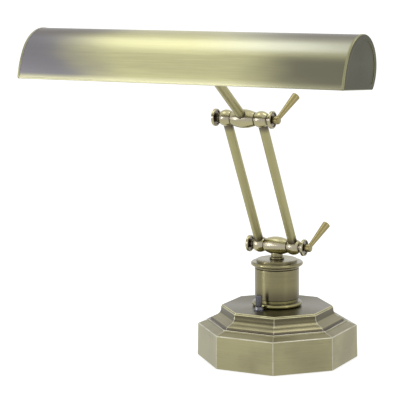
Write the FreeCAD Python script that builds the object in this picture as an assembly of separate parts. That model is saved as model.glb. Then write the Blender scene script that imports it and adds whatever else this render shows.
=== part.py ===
"""Piano lamp: weighted octagonal base, short column, lever-clamped twin arm and a trough shade.

Frame: millimetres, +Z up, origin on the table at the centre of the base.  The long axis of the
shade and both clamp axes run along X; the lamp leans forward towards -Y.
"""
import FreeCAD, Part
import math
import os

V = FreeCAD.Vector
X_AXIS = V(1, 0, 0)
Y_AXIS = V(0, 1, 0)
Z_AXIS = V(0, 0, 1)
ORIGIN = V(0, 0, 0)
SAME_POINT = 1e-6         # points closer than this are one point
BARREL_STEPS = 4          # points on each half of a barrel's side

# ------------------------------------------------------------------ driving dimensions
# clearances
RUNNING = 0.05            # radial clearance of a part that turns on a pin or in a bore
SLIP = 0.05               # radial clearance of a part pushed into its seat
FACE_GAP = 0.2            # axial gap between faces that turn against each other

# base shell
FOOT_APOTHEM = 81.35      # centre to flat at the rim of the base
WALL_APOTHEM = 80.7       # centre to flat at the top of the upright wall
WALL_HEIGHT = 35.7        # rim to the top of the upright wall
SLOPE_RISE = 3.7          # rise of the sloping shoulder
BEAD_APOTHEM = 71.25      # centre to the small bead above the shoulder
BEAD_HEIGHT = 1.6
BEAD_LEDGE = 3.75         # flat between the bead and the foot of the ogee
OGEE_RISER = 0.8
OGEE_RISER_ROUND = 1.5
OGEE_BULGE_IN = 2.2       # from the riser to the shoulder of the convex part
OGEE_BULGE_UP = 2.2
OGEE_BULGE_RADIUS = 12.0
OGEE_COVE_APOTHEM = 57.0  # centre to the upright face above the cove
OGEE_COVE_UP = 3.8
OGEE_COVE_RADIUS = 8.0
NECK_HEIGHT = 7.5         # cove corner to the lip
LIP_STEP = 0.9
LIP_HEIGHT = 1.7
BASE_WALL = 2.4           # thickness of the shell
EDGE_ROUND = 0.5

# underside
FELT_THICKNESS = 2.0
FELT_PROUD = 0.6          # the felt stands this much below the rim
COVER_THICKNESS = 1.5
COVER_CLEARANCE = 0.5     # edge of the cover plate to the wall of the shell
BALLAST_RADIUS = 57.0
BALLAST_HEIGHT = 24.0
NUT_POCKET_RADIUS = 15.0
NUT_POCKET_DEPTH = 12.0
POST_RADIUS = 4.5
POST_DISTANCE = 69.0      # centre to each screw post
SCREW_RADIUS = 2.0
SCREW_HEAD_RADIUS = 3.7
SCREW_LENGTH = 11.0

# cord inlet in the rear wall
INLET_RADIUS = 3.2
INLET_HEIGHT = 12.6
INLET_SLEEVE = 1.5        # wall of the rubber bushing
INLET_FLANGE = 1.8        # flange beyond the sleeve
INLET_FLANGE_THICKNESS = 1.3

# threaded pipe through the column
PIPE_RADIUS = 4.9
PIPE_BORE = 3.2
PIPE_NUT_FLATS = 16.0
PIPE_NUT_HEIGHT = 4.5
PIPE_WASHER_RADIUS = 11.5
PIPE_WASHER_THICKNESS = 1.5
SPACER_RADIUS = 9.0

# column
COLUMN_RADIUS = 24.3
COLUMN_WALL = 1.5
COLUMN_HEIGHT = 33.6
FOOT_RING_RADIUS = 27.2
FOOT_RING_ROLL = 2.65     # radius of the rolled edge of the foot ring
GROOVE_RADIUS = 23.1      # recess between the foot ring and the column
GROOVE_HEIGHT = 3.0
REGISTER_LENGTH = 3.0     # lips that centre the column tube
CAP_GAP = 0.8             # shadow line between the column and its cap
CAP_SKIRT_RADIUS = 24.7
CAP_SKIRT_HEIGHT = 2.4
FLANGE_RADIUS = 28.6
FLANGE_THICKNESS = 4.0
FLANGE_ROUND = 1.9
RAISED_RADIUS = 22.4
RAISED_HEIGHT = 2.5
CAP_TOP_THICKNESS = 4.0

# swivel between column and arm
SWIVEL_RING_RADIUS = 8.0
SWIVEL_RING_HEIGHT = 2.4
SWIVEL_STUB_RADIUS = 5.9
SWIVEL_STUB_LENGTH = 16.0
SWIVEL_BEARING = 7.0      # length of bore that guides the shank
SHANK_RADIUS = 4.0
SHANK_BORE = 2.2
NECK_RADIUS = 6.5
NECK_SPIGOT_RADIUS = 3.6
CIRCLIP_RADIUS = 4.9
CIRCLIP_THICKNESS = 1.0
CIRCLIP_GROOVE = 0.7
SPRING_WASHER_THICKNESS = 0.5
COUPLER_RADIUS = 8.2
COUPLER_OVERLAP = 7.5     # how far the coupler covers the pipe and the stub

# clamp joints
JOINT_RISE = 14.7         # top of the cap to the lower clamp axis
BOLT_RADIUS = 3.0
CENTRE_HALF = 13.3        # half length of the centre barrel
CENTRE_END_RADIUS = 7.0
CENTRE_RADIUS = 9.9
WASHER_RADIUS = 6.3
WASHER_THICKNESS = 0.6
OUTER_LENGTH = 13.7
ARM_STATION = 6.2         # inner end of an arm barrel to its widest point, where the arm enters
OUTER_INNER_RADIUS = 6.9
OUTER_RADIUS = 8.8
OUTER_END_RADIUS = 5.5
COLLAR_LENGTH = 3.3
COLLAR_RADIUS = 4.6
COLLAR_BEAD_RADIUS = 6.0
COLLAR_BEAD_LENGTH = 2.3
BOLT_NECK_RADIUS = 4.3    # end of the taper between the left barrel and the bolt's disc
DISC_RADIUS = 9.2
DISC_THICKNESS = 3.0
DISC_RIM = 1.6
DISC_DISH = 0.9
DISC_ROUND = 0.7
SOCKET_FLOOR = 5.6        # clamp axis to the bottom of a tube socket
NECK_SOCKET_FLOOR = 5.8

# clamp levers
HUB_RADIUS = 4.3
HUB_LENGTH = 7.0
HUB_ROUND = 2.0
BOLT_END_SHORT = 5.1      # end of the bolt back from the end of the hub
LEVER_STATION = 3.4       # lever axis back from the end of the hub
LEVER_LENGTH = 35.3       # clamp axis to the tip
LEVER_ROOT_RADIUS = 2.4
LEVER_TIP_RADIUS = 4.45
LEVER_TIP_ROUND = 0.9
LEVER_SPIGOT_RADIUS = 1.4
LEVER_SPIGOT_FLOOR = 1.0
LEVER_OUTWARD = 18.0      # degrees that the lever splays away from the lamp
LEVER_ABOVE_REAR = 44.5   # degrees that the lever points above the rear horizontal

# arms and stem
TUBE_RADIUS = 5.0
TUBE_WALL = 1.0
ARM_LENGTH = 166.7        # lower clamp axis to upper clamp axis
ARM_LEAN = 28.0           # degrees forward from upright

# shade, placed from the upper clamp axis
SHADE_FORWARD = 105.3     # clamp axis to the centre of the back curve
SHADE_UP = 65.7
SHADE_LENGTH = 355.6
BACK_RADIUS = 31.0        # rounded back
CROWN_RADIUS = 41.2       # broader crown
FRONT_RADIUS = 80.0       # flatter front flank
BACK_TO_CROWN = 82.3      # degrees above the rear horizontal where back and crown meet
CROWN_TO_FRONT = 148.6    # degrees above the rear horizontal where crown and flank meet
FRONT_EDGE_DROP = 47.2    # top of the crown to the front edge
BACK_EDGE_DROP = 52.6     # top of the crown to the back edge
SHADE_WALL = 1.0
HEM_RADIUS = 0.9
CAP_DEPTH = 2.6
CAP_PROUD = 0.4           # the cap stands this much outside the sheet
CAP_WALL = 1.9
CAP_FLOOR = 1.7
CAP_RIM = 4.4             # width of the raised rim around the end face
CAP_RECESS = 0.6          # depth of the end face behind the rim
CAP_EDGE_ROUND = 1.4
CAP_CORNER_ROUND = 1.9
CAP_LIP_LENGTH = 5.0
STEM_ENTRY = -18.5        # degrees from the rear horizontal where the stem meets the wall
STEM_COLLAR_RADIUS = 7.6
STEM_COLLAR_LENGTH = 6.0
STEM_SPACER_RADIUS = 6.6

# lamps
LAMP_FORWARD = 0.5        # centre of the back curve to the axis of the bulbs
LAMP_UP = 4.4
CLUSTER_RADIUS = 13.5
CLUSTER_HALF = 12.0
NIPPLE_RADIUS = 5.0
NIPPLE_BORE = 3.6
HOLDER_RADIUS = 16.6
HOLDER_FLOOR = 3.0
HOLDER_LENGTH = 29.0
BULB_BASE_RADIUS = 13.1
BULB_BASE_LENGTH = 24.0
BULB_BASE_WALL = 0.5
BULB_CONTACT_RADIUS = 4.6
BULB_RADIUS = 15.9
BULB_LENGTH = 141.0
BULB_GLASS = 0.9
BULB_NECK_LENGTH = 10.0
GRUB_RADIUS = 2.0
GRUB_LENGTH = 9.0

# rotary switch on the base
SWITCH_X = -5.5
SWITCH_Y = -34.0
SWITCH_BODY_RADIUS = 9.0
SWITCH_BODY_HEIGHT = 17.0
SWITCH_BUSHING_RADIUS = 3.4
SWITCH_BUSHING_HEIGHT = 4.9
SWITCH_SHAFT_RADIUS = 1.5
SWITCH_WASHER_RADIUS = 6.0
SWITCH_WASHER_THICKNESS = 0.6
SWITCH_NUT_RADIUS = 5.3
SWITCH_NUT_TOP_RADIUS = 4.2
SWITCH_NUT_HEIGHT = 3.9
SWITCH_NUT_FLUTES = 16
SWITCH_NUT_FLUTE_RADIUS = 0.5
KNOB_RADIUS = 3.45
KNOB_HEIGHT = 11.5
KNOB_FLUTES = 14
KNOB_FLUTE_RADIUS = 0.35
KNOB_LIFT = 0.6           # gap between the bushing and the knob

# ------------------------------------------------------------------ derived places
OCTANT = 45.0
HALF_OCTANT = OCTANT / 2
RIM_Z = FELT_PROUD
COVER_Z = FELT_THICKNESS
INSIDE_Z = COVER_Z + COVER_THICKNESS
SHOULDER_Z = RIM_Z + WALL_HEIGHT
BEAD_Z = SHOULDER_Z + SLOPE_RISE
LEDGE_Z = BEAD_Z + BEAD_HEIGHT
RISER_APOTHEM = BEAD_APOTHEM - BEAD_LEDGE
RISER_Z = LEDGE_Z + OGEE_RISER
BULGE_APOTHEM = RISER_APOTHEM - OGEE_BULGE_IN
BULGE_Z = RISER_Z + OGEE_BULGE_UP
COVE_Z = BULGE_Z + OGEE_COVE_UP
LIP_Z = COVE_Z + NECK_HEIGHT
BASE_TOP_Z = LIP_Z + LIP_HEIGHT
CEILING_Z = BASE_TOP_Z - BASE_WALL
BALLAST_TOP_Z = INSIDE_Z + BALLAST_HEIGHT
GROOVE_Z = BASE_TOP_Z + 2 * FOOT_RING_ROLL
COLUMN_Z = GROOVE_Z + GROOVE_HEIGHT
COLUMN_TOP_Z = COLUMN_Z + COLUMN_HEIGHT
SKIRT_Z = COLUMN_TOP_Z + CAP_GAP
FLANGE_Z = SKIRT_Z + CAP_SKIRT_HEIGHT
CAP_SHOULDER_Z = FLANGE_Z + FLANGE_THICKNESS
CAP_TOP_Z = CAP_SHOULDER_Z + RAISED_HEIGHT
CAP_INSIDE_Z = CAP_TOP_Z - CAP_TOP_THICKNESS
STUB_END_Z = CAP_TOP_Z - SWIVEL_STUB_LENGTH
PIPE_TOP_Z = STUB_END_Z - FACE_GAP
RING_TOP_Z = CAP_TOP_Z + SWIVEL_RING_HEIGHT
BEARING_END_Z = RING_TOP_Z - SWIVEL_BEARING
LOWER_Z = CAP_TOP_Z + JOINT_RISE
UPPER_Y = -ARM_LENGTH * math.sin(math.radians(ARM_LEAN))
UPPER_Z = LOWER_Z + ARM_LENGTH * math.cos(math.radians(ARM_LEAN))
LOWER_JOINT = V(0, 0, LOWER_Z)
UPPER_JOINT = V(0, UPPER_Y, UPPER_Z)

OUTER_START = CENTRE_HALF + FACE_GAP + WASHER_THICKNESS
OUTER_END = OUTER_START + OUTER_LENGTH
ARM_X = OUTER_START + ARM_STATION
DISC_START = OUTER_END + COLLAR_LENGTH
DISC_END = DISC_START + DISC_THICKNESS
HUB_START = DISC_END + FACE_GAP
HUB_END = HUB_START + HUB_LENGTH
SOCKET_RADIUS = TUBE_RADIUS + SLIP
BOLT_HOLE = BOLT_RADIUS + RUNNING

BACK_MEET = math.radians(BACK_TO_CROWN)
FRONT_MEET = math.radians(CROWN_TO_FRONT)
BACK_SHIFT = BACK_RADIUS - CROWN_RADIUS
FRONT_SHIFT = CROWN_RADIUS - FRONT_RADIUS
BACK = V(0, UPPER_Y - SHADE_FORWARD, UPPER_Z + SHADE_UP)
CROWN = BACK + V(0, math.cos(BACK_MEET), math.sin(BACK_MEET)) * BACK_SHIFT
FRONT = CROWN + V(0, math.cos(FRONT_MEET), math.sin(FRONT_MEET)) * FRONT_SHIFT
CROWN_TOP_Z = CROWN.z + CROWN_RADIUS
FRONT_EDGE_Z = CROWN_TOP_Z - FRONT_EDGE_DROP
BACK_EDGE_Z = CROWN_TOP_Z - BACK_EDGE_DROP
ENTRY_ANGLE = math.radians(STEM_ENTRY)
ENTRY = BACK + V(0, math.cos(ENTRY_ANGLE), math.sin(ENTRY_ANGLE)) * BACK_RADIUS
STEM_DIRECTION = (ENTRY - UPPER_JOINT).normalize()
STEM_TO_WALL = (ENTRY - UPPER_JOINT).Length
LAMP = BACK + V(0, -LAMP_FORWARD, LAMP_UP)
STEM_END = (LAMP - UPPER_JOINT).dot(STEM_DIRECTION)
CAP_START = SHADE_LENGTH / 2 - CAP_DEPTH


# ------------------------------------------------------------------ construction helpers
def corner_half_angle(corners, i):
    back = corners[i - 1] - corners[i]
    ahead = corners[(i + 1) % len(corners)] - corners[i]
    return back.getAngle(ahead) / 2


def corner_reaches(corners, radii):
    """Tangent length of each rounded corner, shortened where two would meet on one side."""
    count = len(corners)
    reaches = [radii[i] / math.tan(corner_half_angle(corners, i)) for i in range(count)]
    limited = []
    for i in range(count):
        fit = 1
        for j in (i - 1, (i + 1) % count):
            if reaches[i] > 0:
                side = corners[i].distanceToPoint(corners[j])
                fit = min(fit, side / (reaches[i] + reaches[j]))
        limited.append(reaches[i] * fit)
    return limited


def rounded_edges(points):
    """Edges of a closed outline; each point is (u, v) or (u, v, corner radius), laid in X and Z."""
    corners = [V(p[0], 0, p[1]) for p in points]
    radii = [p[2] if len(p) > 2 else 0 for p in points]
    reaches = corner_reaches(corners, radii)
    count = len(corners)
    pieces = []
    for i in range(count):
        here = corners[i]
        back = (corners[i - 1] - here).normalize()
        ahead = (corners[(i + 1) % count] - here).normalize()
        half = corner_half_angle(corners, i)
        radius = reaches[i] * math.tan(half)
        inward = (back + ahead) * (1 / (back + ahead).Length) if radius > 0 else ORIGIN
        middle = here + inward * (radius / math.sin(half) - radius)
        pieces.append((here + back * reaches[i], middle, here + ahead * reaches[i]))
    edges = []
    for i in range(count):
        start, middle, end = pieces[i]
        if reaches[i] > 0:
            edges.append(Part.Arc(start, middle, end).toShape())
        following = pieces[(i + 1) % count][0]
        if end.distanceToPoint(following) > SAME_POINT:
            edges.append(Part.LineSegment(end, following).toShape())
    return edges


def outline_face(points):
    return Part.Face(Part.Wire(rounded_edges(points)))


def turned(points):
    """Solid of revolution about Z from an outline of (radius, height) points."""
    return outline_face(points).revolve(ORIGIN, Z_AXIS, 360)


def along_x(shape):
    """Lay a shape made about Z along +X."""
    shape.rotate(ORIGIN, Y_AXIS, 90)
    return shape


def rod(radius, start, end):
    """Round bar about Z between two heights."""
    return Part.makeCylinder(radius, end - start, V(0, 0, start))


def tube(radius, bore, start, end):
    return rod(radius, start, end).cut(rod(bore, start, end))


def bar(radius, start, direction, length):
    return Part.makeCylinder(radius, length, start, direction)


def octagon_sector(points):
    """One eighth of an octagonal moulding from an outline of (apothem, height) points."""
    reach = max(p[0] for p in points) * 1.1
    low = min(p[1] for p in points) - 1
    high = max(p[1] for p in points) + 1
    side = reach * math.tan(math.radians(HALF_OCTANT))
    slab = outline_face(points).extrude(V(0, 2 * side, 0))
    slab.translate(V(0, -side, 0))
    corners = [V(0, 0, low), V(reach, -side, low), V(reach, side, low), V(0, 0, low)]
    wedge = Part.Face(Part.makePolygon(corners)).extrude(V(0, 0, high - low))
    return slab.common(wedge)


def octagonal(points):
    """Full octagonal moulding with mitred corners and flats facing X and Y."""
    sector = octagon_sector(points)
    copies = []
    for i in range(1, 8):
        copy = sector.copy()
        copy.rotate(ORIGIN, Z_AXIS, OCTANT * i)
        copies.append(copy)
    return sector.multiFuse(copies).removeSplitter()


def octagon_plate(apothem, start, end):
    return octagonal([(0, start), (apothem, start), (apothem, end), (0, end)])


def hexagon_nut(flats, start, end):
    corner = flats / math.sqrt(3)
    corners = [V(corner, 0, start)]
    for i in range(1, 6):
        turn = math.radians(60 * i)
        corners.append(V(corner * math.cos(turn), corner * math.sin(turn), start))
    corners.append(corners[0])
    prism = Part.Face(Part.makePolygon(corners)).extrude(V(0, 0, end - start))
    bevel = (corner - flats / 2) * 0.8
    guard = turned([(0, start), (corner, start), (corner, end - bevel),
                    (corner - 2 * bevel, end), (0, end)])
    return prism.common(guard)


def mirrored(shape):
    """The same piece on the other side of the lamp."""
    return shape.mirror(ORIGIN, X_AXIS)


def moved(shape, place):
    copy = shape.copy()
    copy.translate(place)
    return copy


def around(count, radius, shape):
    """Copies of a shape made about Z, spaced evenly on a circle."""
    copies = []
    for i in range(count):
        turn = 2 * math.pi * i / count
        copies.append(moved(shape, V(radius * math.cos(turn), radius * math.sin(turn), 0)))
    return copies


NODES = {}


def keep(name, *solids):
    """Store one node; identical fasteners share a node as separate solids."""
    NODES[name] = solids[0] if len(solids) == 1 else Part.makeCompound(list(solids))


# ------------------------------------------------------------------ base
def base_outline():
    return [
        (0, RIM_Z),
        (FOOT_APOTHEM, RIM_Z, EDGE_ROUND),
        (WALL_APOTHEM, SHOULDER_Z, EDGE_ROUND),
        (BEAD_APOTHEM, BEAD_Z, EDGE_ROUND),
        (BEAD_APOTHEM, LEDGE_Z, EDGE_ROUND),
        (RISER_APOTHEM, LEDGE_Z),
        (RISER_APOTHEM, RISER_Z, OGEE_RISER_ROUND),
        (BULGE_APOTHEM, BULGE_Z, OGEE_BULGE_RADIUS),
        (OGEE_COVE_APOTHEM, COVE_Z, OGEE_COVE_RADIUS),
        (OGEE_COVE_APOTHEM, LIP_Z),
        (OGEE_COVE_APOTHEM - LIP_STEP, LIP_Z),
        (OGEE_COVE_APOTHEM - LIP_STEP, BASE_TOP_Z, EDGE_ROUND),
        (0, BASE_TOP_Z),
    ]


def base_cavity():
    wall = FOOT_APOTHEM - BASE_WALL
    return octagonal([
        (0, RIM_Z - 1),
        (wall, RIM_Z - 1),
        (wall, RIM_Z),
        (WALL_APOTHEM - BASE_WALL, SHOULDER_Z - BASE_WALL),
        (RISER_APOTHEM - BASE_WALL, LEDGE_Z - BASE_WALL),
        (OGEE_COVE_APOTHEM - BASE_WALL, BULGE_Z - BASE_WALL),
        (OGEE_COVE_APOTHEM - LIP_STEP - BASE_WALL, CEILING_Z),
        (0, CEILING_Z),
    ])


def post_places():
    places = []
    for i in range(4):
        turn = math.radians(OCTANT + 2 * OCTANT * i)
        places.append(V(POST_DISTANCE * math.cos(turn), POST_DISTANCE * math.sin(turn), 0))
    return places


def make_base_shell():
    outer = octagonal(base_outline())
    shell = outer.cut(base_cavity())
    for place in post_places():
        post = moved(rod(POST_RADIUS, INSIDE_Z, LEDGE_Z), place).common(outer)
        shell = shell.fuse(post)
    for place in post_places():
        shell = shell.cut(moved(rod(SCREW_RADIUS + SLIP, COVER_Z, COVER_Z + SCREW_LENGTH + 1), place))
    shell = shell.cut(rod(PIPE_RADIUS + SLIP, CEILING_Z - 1, BASE_TOP_Z + 1))
    switch_hole = rod(SWITCH_BUSHING_RADIUS + SLIP, CEILING_Z - 1, BASE_TOP_Z + 1)
    shell = shell.cut(moved(switch_hole, V(SWITCH_X, SWITCH_Y, 0)))
    sleeve = INLET_RADIUS + INLET_SLEEVE + SLIP
    inlet = bar(sleeve, V(0, WALL_APOTHEM - 3 * BASE_WALL, INLET_HEIGHT), Y_AXIS, 4 * BASE_WALL)
    return shell.cut(inlet).removeSplitter()


def make_underside():
    edge = FOOT_APOTHEM - BASE_WALL - COVER_CLEARANCE
    keep("felt_pad", octagon_plate(edge, 0, FELT_THICKNESS))
    cover = octagon_plate(edge, COVER_Z, INSIDE_Z)
    screws = []
    for place in post_places():
        head = turned([(0, COVER_Z), (SCREW_HEAD_RADIUS, COVER_Z), (SCREW_RADIUS, INSIDE_Z), (0, INSIDE_Z)])
        shank = rod(SCREW_RADIUS, INSIDE_Z, COVER_Z + SCREW_LENGTH)
        screws.append(moved(head.fuse(shank), place))
        cover = cover.cut(moved(head, place))
    keep("cover_plate", cover)
    keep("cover_screws", *screws)


def make_ballast():
    ballast = tube(BALLAST_RADIUS, PIPE_RADIUS + SLIP, INSIDE_Z, BALLAST_TOP_Z)
    pocket_top = INSIDE_Z + NUT_POCKET_DEPTH
    ballast = ballast.cut(rod(NUT_POCKET_RADIUS, INSIDE_Z, pocket_top))
    slot_width = 2 * (INLET_RADIUS + INLET_SLEEVE)
    slot_height = INLET_HEIGHT + INLET_RADIUS - INSIDE_Z
    slot = Part.makeBox(slot_width, BALLAST_RADIUS + 1, slot_height, V(-slot_width / 2, 0, INSIDE_Z))
    keep("ballast_weight", ballast.cut(slot))
    washer_z = pocket_top - PIPE_WASHER_THICKNESS
    keep("pipe_washer", tube(PIPE_WASHER_RADIUS, PIPE_RADIUS + SLIP, washer_z, pocket_top))
    nut_z = washer_z - PIPE_NUT_HEIGHT
    nut = hexagon_nut(PIPE_NUT_FLATS, nut_z, washer_z)
    keep("pipe_nut", nut.cut(rod(PIPE_RADIUS, nut_z, washer_z)))
    keep("ballast_spacer", tube(SPACER_RADIUS, PIPE_RADIUS + SLIP, BALLAST_TOP_Z, CEILING_Z))
    keep("lamp_pipe", tube(PIPE_RADIUS, PIPE_BORE, nut_z - 2, PIPE_TOP_Z))


def make_cord_bushing():
    """Rubber bushing in the rear wall, seated against both faces of the shell."""
    taper = FOOT_APOTHEM - WALL_APOTHEM
    flange = INLET_RADIUS + INLET_SLEEVE + INLET_FLANGE
    outer_drop = (INLET_HEIGHT - flange - RIM_Z) / WALL_HEIGHT
    inner_drop = (INLET_HEIGHT + flange - RIM_Z) / (WALL_HEIGHT - BASE_WALL)
    outer_face = FOOT_APOTHEM - taper * outer_drop
    inner_face = FOOT_APOTHEM - BASE_WALL - taper * inner_drop
    inner_end = inner_face - INLET_FLANGE_THICKNESS
    outer_end = outer_face + INLET_FLANGE_THICKNESS
    sleeve = INLET_RADIUS + INLET_SLEEVE
    bushing = turned([
        (INLET_RADIUS, inner_end),
        (flange, inner_end),
        (flange, inner_face),
        (sleeve, inner_face),
        (sleeve, outer_face),
        (flange, outer_face),
        (flange, outer_end, EDGE_ROUND),
        (INLET_RADIUS, outer_end),
    ])
    bushing.rotate(ORIGIN, X_AXIS, -90)
    keep("cord_bushing", moved(bushing, V(0, 0, INLET_HEIGHT)))


# ------------------------------------------------------------------ column
def make_column():
    bore = COLUMN_RADIUS - COLUMN_WALL
    register = bore - SLIP
    inner = register - 2 * COLUMN_WALL
    keep("column_foot_ring", turned([
        (inner, BASE_TOP_Z),
        (FOOT_RING_RADIUS, BASE_TOP_Z, FOOT_RING_ROLL),
        (FOOT_RING_RADIUS, GROOVE_Z, FOOT_RING_ROLL),
        (GROOVE_RADIUS, GROOVE_Z),
        (GROOVE_RADIUS, COLUMN_Z),
        (register, COLUMN_Z),
        (register, COLUMN_Z + REGISTER_LENGTH),
        (inner, COLUMN_Z + REGISTER_LENGTH),
    ]))
    keep("column_tube", turned([
        (bore, COLUMN_Z),
        (COLUMN_RADIUS, COLUMN_Z, COLUMN_WALL / 2),
        (COLUMN_RADIUS, COLUMN_TOP_Z, COLUMN_WALL / 4),
        (bore, COLUMN_TOP_Z),
    ]))
    keep("column_cap", turned([
        (SWIVEL_STUB_RADIUS + SLIP, CAP_INSIDE_Z),
        (inner, CAP_INSIDE_Z),
        (inner, COLUMN_TOP_Z - REGISTER_LENGTH),
        (register, COLUMN_TOP_Z - REGISTER_LENGTH),
        (register, COLUMN_TOP_Z),
        (GROOVE_RADIUS, COLUMN_TOP_Z),
        (GROOVE_RADIUS, SKIRT_Z),
        (CAP_SKIRT_RADIUS, SKIRT_Z, EDGE_ROUND),
        (CAP_SKIRT_RADIUS, FLANGE_Z, CAP_SKIRT_HEIGHT / 2),
        (FLANGE_RADIUS, FLANGE_Z, FLANGE_ROUND),
        (FLANGE_RADIUS, CAP_SHOULDER_Z, FLANGE_ROUND),
        (RAISED_RADIUS, CAP_SHOULDER_Z, EDGE_ROUND),
        (RAISED_RADIUS, CAP_TOP_Z, EDGE_ROUND),
        (SWIVEL_STUB_RADIUS + SLIP, CAP_TOP_Z),
    ]))
    keep("pipe_coupler", turned([
        (PIPE_RADIUS, STUB_END_Z - COUPLER_OVERLAP),
        (COUPLER_RADIUS, STUB_END_Z - COUPLER_OVERLAP, EDGE_ROUND),
        (COUPLER_RADIUS, STUB_END_Z + COUPLER_OVERLAP, EDGE_ROUND),
        (SWIVEL_STUB_RADIUS, STUB_END_Z + COUPLER_OVERLAP),
        (SWIVEL_STUB_RADIUS, STUB_END_Z - FACE_GAP),
        (PIPE_RADIUS, STUB_END_Z - FACE_GAP),
    ]))


# ------------------------------------------------------------------ swivel
def make_swivel(barrel_form):
    """Fixed ring on the cap, and the neck that turns in it and carries the lower barrel."""
    bore = SHANK_RADIUS + RUNNING
    chamber = CIRCLIP_RADIUS + RUNNING
    keep("swivel_ring", turned([
        (bore, RING_TOP_Z),
        (bore, BEARING_END_Z),
        (chamber, BEARING_END_Z),
        (chamber, STUB_END_Z),
        (SWIVEL_STUB_RADIUS, STUB_END_Z),
        (SWIVEL_STUB_RADIUS, CAP_TOP_Z),
        (SWIVEL_RING_RADIUS, CAP_TOP_Z, EDGE_ROUND),
        (SWIVEL_RING_RADIUS, RING_TOP_Z, EDGE_ROUND),
    ]))
    washer_top = BEARING_END_Z - RUNNING
    clip_top = washer_top - SPRING_WASHER_THICKNESS
    clip_z = clip_top - CIRCLIP_THICKNESS
    shank_end = clip_z - CIRCLIP_THICKNESS
    groove = SHANK_RADIUS - CIRCLIP_GROOVE
    neck_z = RING_TOP_Z + FACE_GAP
    spigot_end = LOWER_Z - NECK_SOCKET_FLOOR
    stem = tube(SHANK_RADIUS, SHANK_BORE, shank_end, neck_z)
    stem = stem.cut(tube(SHANK_RADIUS + 1, groove, clip_z, clip_top))
    body = tube(NECK_RADIUS, SHANK_BORE, neck_z, LOWER_Z).cut(barrel_form)
    spigot = tube(NECK_SPIGOT_RADIUS, SHANK_BORE, neck_z, spigot_end)
    keep("swivel_neck", stem.fuse([body, spigot]).removeSplitter())
    keep("swivel_spring_washer", tube(CIRCLIP_RADIUS, bore, clip_top, washer_top))
    keep("swivel_circlip", tube(CIRCLIP_RADIUS, groove, clip_z, clip_top))


# ------------------------------------------------------------------ clamp joints
def swelling(start, peak, end):
    """Side of a barrel through (x, radius) stations, swelling from start to peak and back to end."""
    points = []
    for i in range(-BARREL_STEPS, BARREL_STEPS + 1):
        station = start if i < 0 else end
        share = abs(i) / BARREL_STEPS
        x = peak[0] + share * (station[0] - peak[0])
        radius = peak[1] + share ** 2 * (station[1] - peak[1])
        points.append(V(radius, 0, x))
    curve = Part.BSplineCurve()
    curve.interpolate(points)
    return curve.toShape()


def barrel(start, peak, end, bore):
    """Turned barrel on the clamp axis with the given bore, or solid when the bore is zero."""
    low = V(start[1], 0, start[0])
    high = V(end[1], 0, end[0])
    closing = Part.makePolygon([high, V(bore, 0, high.z), V(bore, 0, low.z), low])
    face = Part.Face(Part.Wire([swelling(start, peak, end)] + closing.Edges))
    return along_x(face.revolve(ORIGIN, Z_AXIS, 360))


def centre_barrel(bore):
    end = (CENTRE_HALF, CENTRE_END_RADIUS)
    return barrel((-CENTRE_HALF, CENTRE_END_RADIUS), (0, CENTRE_RADIUS), end, bore)


def socket(direction, floor, radius, x):
    """Blind hole for a tube that points at the clamp axis."""
    return bar(radius, V(x, 0, 0) + direction * floor, direction, 3 * OUTER_RADIUS)


def disc_outline(start, end, core):
    """Dished disc between two stations on the axis, with the given radius at its core."""
    rim = DISC_RADIUS - DISC_RIM
    return [
        (core, start + DISC_DISH),
        (rim, start + DISC_DISH),
        (rim, start),
        (DISC_RADIUS, start, DISC_ROUND),
        (DISC_RADIUS, end, DISC_ROUND),
        (rim, end),
        (rim, end - DISC_DISH),
        (core, end - DISC_DISH),
    ]


def make_joint(name, place, arm_direction, centre_sockets):
    """One lever-clamped joint: centre barrel, two arm barrels, bolt, discs, washers and lever."""
    centre = centre_barrel(BOLT_HOLE)
    for direction, floor, radius in centre_sockets:
        centre = centre.cut(socket(direction, floor, radius, 0))
    keep(name + "_centre_barrel", moved(centre, place))

    peak = (ARM_X, OUTER_RADIUS)
    outer = barrel((OUTER_START, OUTER_INNER_RADIUS), peak, (OUTER_END, OUTER_END_RADIUS), BOLT_RADIUS)
    outer = outer.cut(socket(arm_direction, SOCKET_FLOOR, SOCKET_RADIUS, ARM_X))
    keep(name + "_barrel_right", moved(outer, place))
    keep(name + "_barrel_left", moved(mirrored(outer), place))

    washer_start = OUTER_START - WASHER_THICKNESS
    washer = along_x(tube(WASHER_RADIUS, BOLT_RADIUS, washer_start, OUTER_START))
    keep(name + "_friction_washers", moved(washer, place), moved(mirrored(washer), place))

    bolt_end = HUB_END - BOLT_END_SHORT
    head = turned(disc_outline(-DISC_END, -DISC_START, 0))
    neck_start = V(0, 0, -DISC_START - DISC_DISH)
    neck = Part.makeCone(BOLT_NECK_RADIUS, OUTER_END_RADIUS, COLLAR_LENGTH + DISC_DISH, neck_start)
    bolt = head.fuse([neck, rod(BOLT_RADIUS, -OUTER_END, bolt_end)]).removeSplitter()
    keep(name + "_clamp_bolt", moved(along_x(bolt), place))

    bead_start = OUTER_END + (COLLAR_LENGTH - COLLAR_BEAD_LENGTH) / 4
    bead_end = bead_start + COLLAR_BEAD_LENGTH
    roll = COLLAR_BEAD_LENGTH / 2
    bead = turned([
        (BOLT_RADIUS, bead_start),
        (COLLAR_BEAD_RADIUS, bead_start, roll),
        (COLLAR_BEAD_RADIUS, bead_end, roll),
        (BOLT_RADIUS, bead_end),
    ])
    collar = tube(COLLAR_RADIUS, BOLT_RADIUS, OUTER_END, DISC_START + DISC_DISH)
    plate = turned(disc_outline(DISC_START, DISC_END, BOLT_RADIUS)).fuse([collar, bead])
    keep(name + "_pressure_disc", moved(along_x(plate.removeSplitter()), place))
    make_lever(name, place, bolt_end)


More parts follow.
